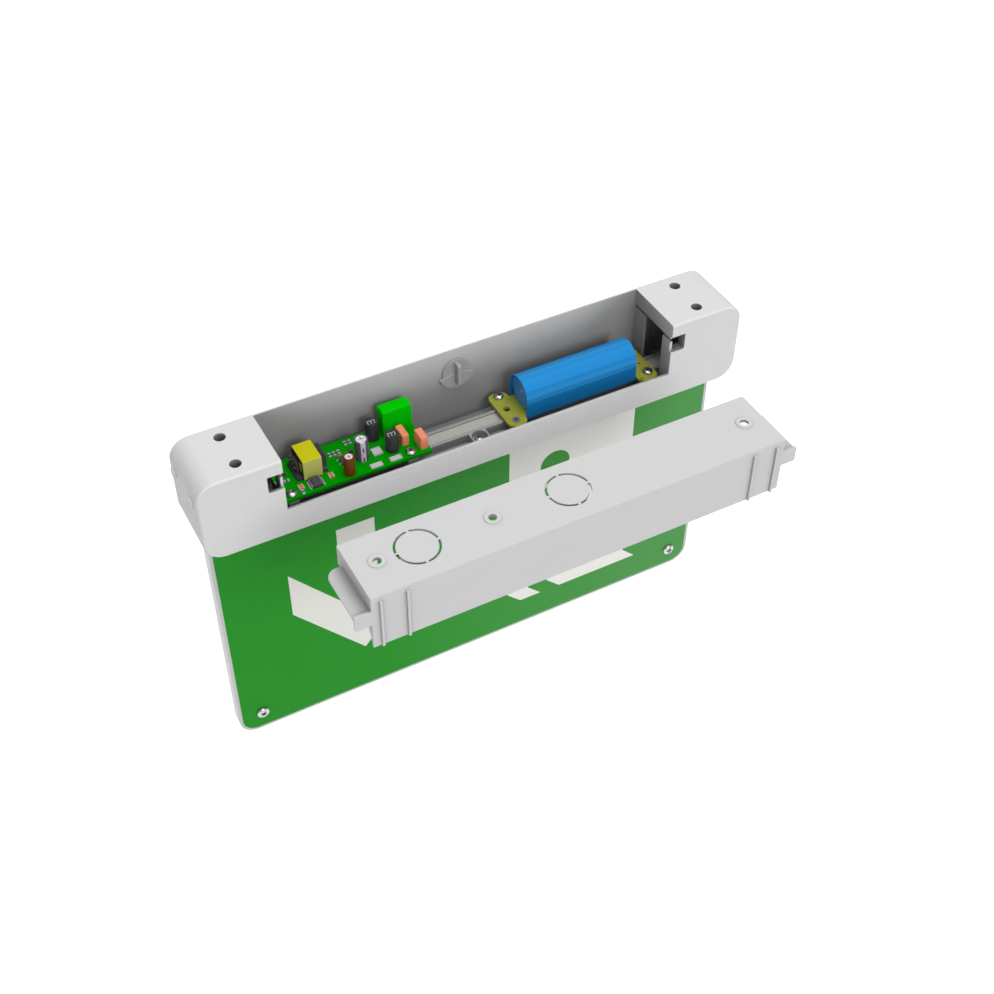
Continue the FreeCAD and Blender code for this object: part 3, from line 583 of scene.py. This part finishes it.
def roundEdges(nodeName, width):
    node = nodes[nodeName]
    addModifier(node, "weld", "WELD", merge_threshold=rounding["weld"])
    addModifier(node, "flatFaces", "DECIMATE", decimate_type="DISSOLVE", angle_limit=rounding["flatWithin"])
    addModifier(node, "softEdges", "BEVEL", width=width, segments=rounding["segments"], limit_method="ANGLE",
                angle_limit=rounding["sharpFrom"], use_clamp_overlap=False)
    addModifier(node, "evenNormals", "WEIGHTED_NORMAL", keep_sharp=False)


for nodeName, finish in dressed.items():
    dress(nodes[nodeName].data, finish)
for nodeName, width in rounding["widths"].items():
    roundEdges(nodeName, width)
print("nodes dressed")


# Sockets behind the two windows that take the base's tabs, in a darker plastic that is painted shade

windowSocket = {"near": 113.1 * mm, "far": 119.9 * mm, "top": -8.0 * mm, "bottom": -18.0 * mm,
                "front": -17.7 * mm, "depth": 3.6 * mm, "wall": 0.8 * mm, "lip": 0.25 * mm}


def makeWindowSockets():
    near, far = windowSocket["near"], windowSocket["far"]
    top, bottom = windowSocket["top"], windowSocket["bottom"]
    front, rear = windowSocket["front"], windowSocket["front"] + windowSocket["depth"]
    wall, lip = windowSocket["wall"], windowSocket["lip"]
    # outer wall, floor and roof on the right, and on the left the outer wall alone
    bm = bmesh.new()
    addBlock(bm, (far - lip, front, bottom - wall), (far + wall, rear, top + wall))
    addBlock(bm, (near, front, bottom - wall), (far - lip, rear, bottom + lip))
    addBlock(bm, (near, front, top - lip), (far - lip, rear, top + wall))
    addBlock(bm, (-far - wall, front, bottom - wall), (-far + lip, rear, top + wall))
    finishPiece("windowSockets", bm, "socket")


makeWindowSockets()


# Short collars under the four holes in the top, in the same darker plastic, painted shade inside the holes

holeCollars = {"middleX": 131.7 * mm, "middleY": 10.6 * mm, "bore": 2.95 * mm, "wall": 0.9 * mm,
               "top": -1.55 * mm, "length": 3.6 * mm}


def makeHoleCollars():
    bm = bmesh.new()
    bore, length = holeCollars["bore"], holeCollars["length"]
    outer = bore + holeCollars["wall"]
    for x in (-holeCollars["middleX"], holeCollars["middleX"]):
        for y in (-holeCollars["middleY"], holeCollars["middleY"]):
            addLathe(bm, [(bore, 0), (outer, 0), (outer, -length), (bore, -length), (bore, 0)],
                     (x, y, holeCollars["top"]), (0, 0, 1), steps=48)
    finishPiece("holeCollars", bm, "socket")


makeHoleCollars()
print("sockets and collars made")


# Screws: a pan head with a rounded crown and a cross recess

screwKinds = {
    "blade_screws": {"piece": "bladeScrews", "face": (0, -1, 0), "headHeight": 2.2 * mm},
    "board_screws": {"piece": "boardScrews", "face": (0, 0, 1), "headHeight": 2.0 * mm},
    "battery_screws": {"piece": "batteryScrews", "face": (0, 0, 1), "headHeight": 2.0 * mm},
    "clamp_bar_screw": {"piece": "clampBarScrew", "face": (0, 0, 1), "headHeight": 2.2 * mm},
}
# shares are of the head's radius and height, and at the recess's floor of its arm and half width
screwForm = {"shankRadius": 1.5 * mm, "tipLength": 0.4 * mm, "tipShare": 0.8, "seatShare": 0.97,
             "rimShare": 0.42, "rimStart": 0.3, "crownSteps": 8, "crownFlatness": 0.7,
             "firstTurn": 20, "turnPerMillimetre": 47}
recessForm = {"arm": 0.62, "half": 0.19, "floor": 0.2, "top": 1.2, "floorArm": 0.45, "floorHalf": 0.7}


def screwHead(radius, height, shankLength):
    # head up, with its seat at the origin
    shank, rim, steps = screwForm["shankRadius"], height * screwForm["rimShare"], screwForm["crownSteps"]
    profile = [(0, -shankLength), (shank * screwForm["tipShare"], -shankLength),
               (shank, -shankLength + screwForm["tipLength"]), (shank, 0),
               (radius * screwForm["seatShare"], 0), (radius, rim * screwForm["rimStart"]), (radius, rim)]
    for step in range(1, steps):
        angle = math.radians(90 * step / steps)
        profile.append((radius * math.cos(angle) ** screwForm["crownFlatness"],
                        rim + (height - rim) * math.sin(angle)))
    profile.append((0, height))
    bm = bmesh.new()
    addLathe(bm, profile, (0, 0, 0), (0, 0, 1), steps=48)
    return meshFrom("screwHead", bm)


def crossRecess(radius, height):
    # two crossed blocks that narrow towards the floor
    bm = bmesh.new()
    for turned in (False, True):
        for vertex in bmesh.ops.create_cube(bm, size=2.0)["verts"]:
            along, side = vertex.co.x * radius * recessForm["arm"], vertex.co.y * radius * recessForm["half"]
            level = height * recessForm["top"]
            if vertex.co.z < 0:
                along, side = along * recessForm["floorArm"], side * recessForm["floorHalf"]
                level = height * recessForm["floor"]
            vertex.co = (-side, along, level) if turned else (along, side, level)
    return meshFrom("screwRecess", bm)


def makeScrews(nodeName, settings):
    face, headHeight = Vector(settings["face"]), settings["headHeight"]
    axis = 2 if face.z else 1  # heads look up, or to the front
    upright = Vector((0, 0, 1)).rotation_difference(face).to_matrix().to_4x4()
    bm = bmesh.new()
    for low, high in solidBoxes(nodeName):
        radius = (high.x - low.x) / 2
        mesh = booleanMesh(screwHead(radius, headHeight, high[axis] - low[axis] - headHeight),
                           crossRecess(radius, headHeight), "DIFFERENCE")
        seat = (low + high) / 2
        angle = screwForm["firstTurn"] + screwForm["turnPerMillimetre"] * seat.x / mm
        seat[axis] = high.z - headHeight if axis == 2 else low.y + headHeight
        turn = Matrix.Rotation(math.radians(angle), 4, face)
        mesh.transform(Matrix.Translation(seat) @ turn @ upright)
        bm.from_mesh(mesh)
    piece = finishPiece(settings["piece"], bm, "steel", smoothAngle=28)
    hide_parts(nodeName)


for nodeName, settings in screwKinds.items():
    makeScrews(nodeName, settings)
print("screws made")


# Signs on the blade: a down arrow, and a doorway with a running figure

signs = {
    "inkDepth": 0.05 * mm,
    "arrowMiddle": -71.35 * mm, "arrowTop": -75.4 * mm, "arrowTip": -176.0 * mm,
    "shaftHalf": 11.05 * mm, "headHalf": 40.4 * mm, "armHeight": 30.8 * mm, "armOuterTop": -96.0 * mm,
    "doorLeft": 21.7 * mm, "doorRight": 102.3 * mm, "doorTop": -50.6 * mm, "sillTop": -181.0 * mm,
    "sillBottom": -189.9 * mm, "sillShift": 8.9 * mm,
    "headCentre": (51.0 * mm, -85.2 * mm), "headRadius": 9.3 * mm,
    "standingLeft": 35.6 * mm, "standingRight": 48.5 * mm,
}
limbs = {  # in millimetres
    "torso": {"path": ((55, -101), (67, -131)), "width": 17},
    "frontArm": {"path": ((55, -101), (38, -112), (28, -100)), "width": 8.5},
    "rearArm": {"path": ((57, -101), (76, -101), (84, -118)), "width": 8.5},
    "frontThigh": {"path": ((66, -132), (42, -147)), "width": 12.9},
    "rearLeg": {"path": ((68, -133), (75, -158), (98, -166)), "width": 12.5},
}


def arrowPoints():
    middle, half, arm = signs["arrowMiddle"], signs["shaftHalf"], signs["headHalf"]
    outer, inner = signs["armOuterTop"], signs["armOuterTop"] - signs["armHeight"]
    joint = outer + (signs["arrowTip"] - inner) / arm * (arm - half)
    right = [(half, signs["arrowTop"]), (half, joint), (arm, outer), (arm, inner)]
    left = [(-x, z) for x, z in reversed(right)]
    return [(middle + x, z) for x, z in [*right, (0, signs["arrowTip"]), *left]]


def areaDownToSill(left, right, top):
    # an upright area whose foot leans over the sill
    shift, sill, bottom = signs["sillShift"], signs["sillTop"], signs["sillBottom"]
    return [(left, top), (left, sill), (left + shift, bottom), (right + shift, bottom),
            (right, sill), (right, top)]


def capsulePoints(start, end, width, steps=14):
    # the outline of a straight limb with round ends
    start, end = Vector(start), Vector(end)
    heading = math.atan2(end.y - start.y, end.x - start.x)
    points = []
    for centre, turn in ((end, heading - math.pi / 2), (start, heading + math.pi / 2)):
        for step in range(steps + 1):
            angle = turn + math.pi * step / steps
            points.append((centre.x + width / 2 * math.cos(angle), centre.y + width / 2 * math.sin(angle)))
    return points


def flatMesh(points, back, front):
    # a flat shape in the XZ plane between two Y levels
    bm = bmesh.new()
    addPrism(bm, [(x, back, z) for x, z in points], (0, front - back, 0))
    return meshFrom("flatShape", bm)


def makeSigns():
    depth, radius = signs["inkDepth"], signs["headRadius"]
    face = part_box("legend_film")[0].y
    ink, front = face - depth, face - 2 * depth
    door = areaDownToSill(signs["doorLeft"], signs["doorRight"], signs["doorTop"])
    finishPiece("signArrow", flatMesh(arrowPoints(), face, ink), "filmWhite")
    finishPiece("signDoorway", flatMesh(door, face, ink), "filmWhite")
    knee = limbs["frontThigh"]["path"][-1][1] * mm
    figure = flatMesh(areaDownToSill(signs["standingLeft"], signs["standingRight"], knee), ink, front)
    for limb in limbs.values():
        path = [(x * mm, z * mm) for x, z in limb["path"]]
        for start, end in zip(path, path[1:]):
            limbMesh = flatMesh(capsulePoints(start, end, limb["width"] * mm), ink, front)
            figure = booleanMesh(figure, limbMesh, "UNION")
    finishPiece("signFigure", figure, "filmGreen")
    headX, headZ = signs["headCentre"]
    disc = [(0, 0), (radius, 0), (radius, depth), (0, depth)]
    bm = bmesh.new()
    addLathe(bm, disc, (headX, ink, headZ), (0, -1, 0), steps=64)
    finishPiece("signFigureHead", bm, "filmGreen")


makeSigns()
print("signs made")


# Ends of the small parts on the driver board, wrapped a little round each block

endCaps = {
    "chip_resistors": {"piece": "chipResistorEnds", "slot": "grey_ceramic", "finish": "chipEnds",
                       "share": 0.3, "proud": 0.04 * mm},
    "chip_capacitors": {"piece": "chipCapacitorEnds", "slot": "tan_ceramic", "finish": "tin",
                        "share": 0.19, "proud": 0.05 * mm, "axis": 0},
    "flat_resistors": {"piece": "flatResistorEnds", "slot": "grey_ceramic", "finish": "tin",
                       "share": 0.1, "proud": 0.04 * mm},
    "square_diode": {"piece": "squareDiodeTabs", "slot": "grey_ceramic", "finish": "tin",
                     "share": 0.12, "proud": 0.06 * mm},
}


def makeEndCaps(nodeName, settings):
    bm = bmesh.new()
    proud = settings["proud"]
    for low, high in solidBoxes(nodeName):
        size = high - low
        axis = settings.get("axis", 0 if size.x > size.y else 1)
        lowEnd, highEnd = high.copy(), low.copy()
        lowEnd[axis] = low[axis] + size[axis] * settings["share"]
        highEnd[axis] = high[axis] - size[axis] * settings["share"]
        for start, end in ((low, lowEnd), (highEnd, high)):
            addBlock(bm, start - Vector((proud, proud, 0)), end + Vector((proud, proud, proud)), bevel=proud)
    finishPiece(settings["piece"], bm, settings["finish"])


for nodeName, settings in endCaps.items():
    makeEndCaps(nodeName, settings)


# Bent leads down both sides of the black parts; inset is how far a body lies inside its node's box

chipLeads = {
    "control_chip": {"piece": "controlChipLeads", "count": 2, "pitch": 3.4 * mm, "reach": 1.3 * mm,
                     "width": 0.8 * mm, "inset": 0.0, "thick": 0.2 * mm},
    "small_transistor": {"piece": "smallTransistorLeads", "count": 1, "pitch": 1.0 * mm, "reach": 0.4 * mm,
                         "width": 0.5 * mm, "inset": 0.0, "thick": 0.2 * mm},
    "bridge_rectifier": {"piece": "bridgeRectifierLeads", "count": 4, "pitch": 1.5 * mm, "reach": 1.55 * mm,
                         "width": 1.0 * mm, "inset": 1.5 * mm, "thick": 0.35 * mm},
}
leadForm = {"root": -0.1 * mm, "rise": 0.5, "heel": 0.3, "knee": 0.45}  # shares of height and reach


def makeChipLeads(nodeName, settings):
    reach, thick, half = settings["reach"], settings["thick"], settings["width"] / 2
    heel, knee = reach * leadForm["heel"], reach * leadForm["knee"]
    bm = bmesh.new()
    for low, high in solidBoxes(nodeName):
        rise = (high.z - low.z) * leadForm["rise"]
        bars = ((leadForm["root"], knee, rise, rise + thick), (heel, reach, 0.0, thick),
                (heel, knee, 0.0, rise + thick))
        for side, edge in ((-1, low.x + settings["inset"]), (1, high.x - settings["inset"])):
            for step in range(settings["count"]):
                y = (low.y + high.y) / 2 + (step - (settings["count"] - 1) / 2) * settings["pitch"]
                for start, end, under, over in bars:
                    near, far = sorted((edge + side * start, edge + side * end))
                    addBlock(bm, (near, y - half, low.z + under), (far, y + half, low.z + over))
    finishPiece(settings["piece"], bm, "chipEnds")


for nodeName, settings in chipLeads.items():
    makeChipLeads(nodeName, settings)


# Tops of the round parts: the can's end inside the sleeve's rolled rim, with a scored cross on two

canTops = {
    "brown_capacitor": {"piece": "brownCapacitorTop", "slot": "brown_sleeve", "finish": "canTop",
                        "share": 0.7, "rise": 0.14 * mm, "scored": True},
    "grey_capacitor": {"piece": "greyCapacitorTop", "slot": "grey_sleeve", "finish": "canTop",
                       "share": 0.73, "rise": 0.14 * mm, "scored": True},
    "rear_choke": {"piece": "rearChokeTop", "slot": "black_sleeve", "finish": "blackSleeve",
                   "share": 0.8, "rise": 0.12 * mm, "scored": False},
    "front_choke": {"piece": "frontChokeTop", "slot": "black_sleeve", "finish": "blackSleeve",
                    "share": 0.8, "rise": 0.12 * mm, "scored": False},
}
canTopForm = {"wallLevel": 0.5, "rim": 0.96, "dish": 0.9, "dishLevel": 0.7,
              "scoreHalf": 0.1, "scoreReach": 0.7}  # levels in rises, the others in radii


def topOf(nodeName):
    # the middle of a part's top
    middle = middleOf(nodeName)
    middle.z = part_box(nodeName)[1].z
    return middle


def makeCanTop(nodeName, settings):
    low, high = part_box(nodeName)
    inner, rise = (high.x - low.x) / 2 * settings["share"], settings["rise"]
    centre, dish = topOf(nodeName), rise * canTopForm["dishLevel"]
    bm = bmesh.new()
    profile = [(0, 0), (inner, 0), (inner, rise * canTopForm["wallLevel"]), (inner * canTopForm["rim"], rise),
               (inner * canTopForm["dish"], dish), (0, dish)]
    addLathe(bm, profile, centre, (0, 0, 1), steps=44)
    top = meshFrom(settings["piece"], bm)
    if settings["scored"]:
        score = bmesh.new()
        half, reach = inner * canTopForm["scoreHalf"], inner * canTopForm["scoreReach"]
        for x, y in ((reach, half), (half, reach)):
            addBlock(score, centre - Vector((x, y, rise)), centre + Vector((x, y, rise * 2)))
        top = booleanMesh(top, meshFrom("score", score), "DIFFERENCE")
    finishPiece(settings["piece"], top, settings["finish"])


for nodeName, settings in canTops.items():
    makeCanTop(nodeName, settings)


# Painted reflection of the lamps on the two black cans: three short bars joined by a line

# painted reflection; ink is the mark's thickness and lift its height over the can's top
chokePrint = {"line": ((-2.2, 0.8), (2.1, 0.8)), "width": 0.42 * mm, "ink": 0.06 * mm, "lift": 0.09 * mm,
              "bars": (((-2.1, 0.8), (-2.15, -1.7)), ((-0.1, 0.8), (-0.4, -1.75)), ((1.9, 0.8), (1.3, -1.8))),
              "pieces": {"rear_choke": "rearChokePrint", "front_choke": "frontChokePrint"}}


def makeChokePrint(nodeName, pieceName):
    centre = topOf(nodeName) + Vector((0, 0, chokePrint["lift"]))
    bm = bmesh.new()
    for start, end in (chokePrint["line"], *chokePrint["bars"]):
        start, end = Vector((*start, 0)) * mm, Vector((*end, 0)) * mm
        side = (end - start).normalized().cross(Vector((0, 0, 1))) * chokePrint["width"] / 2
        corners = [centre + corner for corner in (start - side, start + side, end + side, end - side)]
        addPrism(bm, corners, (0, 0, chokePrint["ink"]))
    finishPiece(pieceName, bm, "print")


for nodeName, pieceName in chokePrint["pieces"].items():
    makeChokePrint(nodeName, pieceName)


# Transformer: end plates on the winding, leads round the cheeks and pins along the bobbin's feet

transformer = {
    "endPlate": 0.12 * mm, "cheekWidth": 1.9 * mm, "rightCheekWidth": 4.1 * mm, "cheekFront": -0.4 * mm,
    "cheekRise": 8.2 * mm, "tapeFront": -3.1 * mm, "tapeLow": -28.3 * mm, "tapeHigh": -22.4 * mm,
    "tapeBevel": 0.04 * mm,
}
coils = {"count": 4, "radius": 0.95 * mm, "rise": 7.3 * mm, "proud": 1.1 * mm,
         "first": 2.2, "pitch": 2.35, "fall": 0.8, "corner": 0.45}  # the last four in radii
strands = {"count": 3, "radius": 0.5 * mm, "short": 0.6 * mm,
           "first": 1.2, "pitch": 2.4, "flat": 0.7, "corner": 0.4}  # the last four in radii
pins = {"count": 4, "width": 0.7 * mm, "height": 0.6 * mm, "reach": 0.45 * mm, "root": 0.05 * mm,
        "bevel": 0.1 * mm}


def makeWindingEnds():
    low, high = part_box("transformer_winding")
    plate = transformer["endPlate"]
    bm = bmesh.new()
    for x in (low.x - plate, high.x):
        addBlock(bm, (x, low.y, low.z), (x + plate, high.y, high.z))
    finishPiece("transformerEndPlates", bm, "ferrite")
    bm = bmesh.new()
    addBlock(bm, (low.x - 2 * plate, transformer["tapeFront"], transformer["tapeLow"]),
             (low.x - plate, transformer["cheekFront"], transformer["tapeHigh"]), transformer["tapeBevel"])
    finishPiece("transformerTapeEnd", bm, "tape")


def makeTransformerLeads():
    # coils over the left cheek, seen end on, and strands along the right one
    low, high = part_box("transformer_winding")
    foot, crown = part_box("transformer_bobbin")
    bm = bmesh.new()
    radius, proud, corner = coils["radius"], coils["proud"], coils["radius"] * coils["corner"]
    left = low.x - transformer["cheekWidth"] - proud
    for coil in range(coils["count"]):
        y = crown.y - (coils["first"] + coils["pitch"] * coil) * radius
        level = foot.z + coils["rise"] - coil * radius * coils["fall"]
        addLathe(bm, [(0, 0), (radius - corner, 0), (radius, corner), (radius, proud), (0, proud)],
                 (left, y, level), (1, 0, 0), steps=20)
    radius = strands["radius"]
    flat, corner = radius * strands["flat"], radius * strands["corner"]
    front, level = transformer["cheekFront"], foot.z + transformer["cheekRise"]
    length = crown.y - front - strands["short"]
    for strand in range(strands["count"]):
        x = high.x + transformer["rightCheekWidth"] - (strands["first"] + strands["pitch"] * strand) * radius
        addLathe(bm, [(0, 0), (flat, 0), (radius, corner), (radius, length - corner), (flat, length),
                      (0, length)], (x, front, level), (0, 1, 0), steps=16)
    finishPiece("transformerLeads", bm, "blackMoulding")


def makeTransformerPins():
    foot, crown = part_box("transformer_bobbin")
    half, pitch = pins["width"] / 2, (crown.y - foot.y) / pins["count"]
    bm = bmesh.new()
    for side, edge in ((-1, foot.x), (1, crown.x)):
        near, far = sorted((edge - side * pins["root"], edge + side * pins["reach"]))
        for pin in range(pins["count"]):
            y = foot.y + pitch * (pin + 0.5)
            addBlock(bm, (near, y - half, foot.z), (far, y + half, foot.z + pins["height"]), pins["bevel"])
    finishPiece("transformerPins", bm, "greyCeramic")


makeWindingEnds()
makeTransformerLeads()
makeTransformerPins()
print("board parts made")


# Room, light and camera

room = {
    "floorDrop": 0.24, "floorSize": 9.0, "floorGlow": 0.7, "floorColour": paint(226, 226, 226),
    "skyLight": 0.44, "white": (1, 1, 1, 1), "lampTarget": (0, -0.03, -0.1),
    "lamps": {
        "overhead": {"place": (0.22, -0.15, 1.85), "size": 1.4, "watts": 19.0},
        "front": {"place": (0.3, -3.05, 1.5), "size": 1.7, "watts": 44.0},
        "leftFill": {"place": (-1.8, -0.5, 0.9), "size": 1.2, "watts": 2.0},
        "back": {"place": (0.3, 2.8, 0.25), "size": 1.4, "watts": 13.0},
    },
}


def makeFloor():
    half, level = room["floorSize"] / 2, cadLow.z - room["floorDrop"]
    mesh = bpy.data.meshes.new("studioFloor")
    corners = [(-half, -half, level), (half, -half, level), (half, half, level), (-half, half, level)]
    mesh.from_pydata(corners, [], [(0, 1, 2, 3)])
    material = bpy.data.materials.new("studioFloor")
    material.use_nodes = True
    tree = material.node_tree
    tree.nodes.clear()
    # lit as a pale floor, and brightened only for rays that look at it
    rays = addNode(tree, "ShaderNodeLightPath").outputs
    seen = mathNode(tree, "ADD", rays["Is Camera Ray"], rays["Is Glossy Ray"])
    seen = mathNode(tree, "MINIMUM", mathNode(tree, "ADD", seen, rays["Is Transmission Ray"]), 1.0)
    lit = addNode(tree, "ShaderNodeBsdfDiffuse", Color=room["floorColour"])
    glow = addNode(tree, "ShaderNodeEmission", Color=room["white"],
                   Strength=mathNode(tree, "MULTIPLY", seen, room["floorGlow"]))
    both = addNode(tree, "ShaderNodeAddShader")
    feed(tree, both.inputs[0], lit.outputs[0])
    feed(tree, both.inputs[1], glow.outputs[0])
    addNode(tree, "ShaderNodeOutputMaterial", Surface=both.outputs[0])
    mesh.materials.append(material)
    addObject("studioFloor", mesh)


def makeSky():
    # white to look at, and dimmer as a light
    world = bpy.data.worlds.new("studioSky")
    bpy.context.scene.world = world
    world.use_nodes = True
    tree = world.node_tree
    tree.nodes.clear()
    rays = addNode(tree, "ShaderNodeLightPath").outputs
    seen = mathNode(tree, "ADD", rays["Is Camera Ray"], rays["Is Transmission Ray"])
    strength = mathNode(tree, "ADD", mathNode(tree, "MULTIPLY", seen, 1 - room["skyLight"]), room["skyLight"])
    sky = addNode(tree, "ShaderNodeBackground", Color=room["white"], Strength=strength)
    addNode(tree, "ShaderNodeOutputWorld", Surface=sky.outputs[0])


def makeLamps():
    for name, lamp in room["lamps"].items():
        light = bpy.data.lights.new(name, "AREA")
        light.shape = "DISK"
        light.size = lamp["size"]
        light.energy = lamp["watts"]
        holder = addObject(name, light)
        holder.location = lamp["place"]
        aim = Vector(room["lampTarget"]) - Vector(lamp["place"])
        holder.rotation_euler = aim.to_track_quat("-Z", "Y").to_euler()


cameraView = {
    "place": (-269.4 * mm, -527.3 * mm, 488.2 * mm),
    "right": (0.88144, -0.47227, 0.00477),
    "down": (-0.32755, -0.61854, -0.71422),
    "forward": (0.34026, 0.62798, -0.69990),
    "lens": 54.08, "sensor": 36.0, "nearest": 0.01, "farthest": 30.0,
}


def makeCamera():
    lens = bpy.data.cameras.new("photoCamera")
    lens.lens, lens.sensor_width = cameraView["lens"], cameraView["sensor"]
    lens.clip_start, lens.clip_end = cameraView["nearest"], cameraView["farthest"]
    camera = addObject("photoCamera", lens)
    right, up, back = Vector(cameraView["right"]), -Vector(cameraView["down"]), -Vector(cameraView["forward"])
    turn = Matrix((right, up, back)).transposed().to_4x4()
    camera.matrix_world = Matrix.Translation(cameraView["place"]) @ turn
    bpy.context.scene.camera = camera


makeFloor()
makeSky()
makeLamps()
makeCamera()
bpy.context.scene.view_settings.view_transform = "Standard"
print("room made")

print("pieces ready")
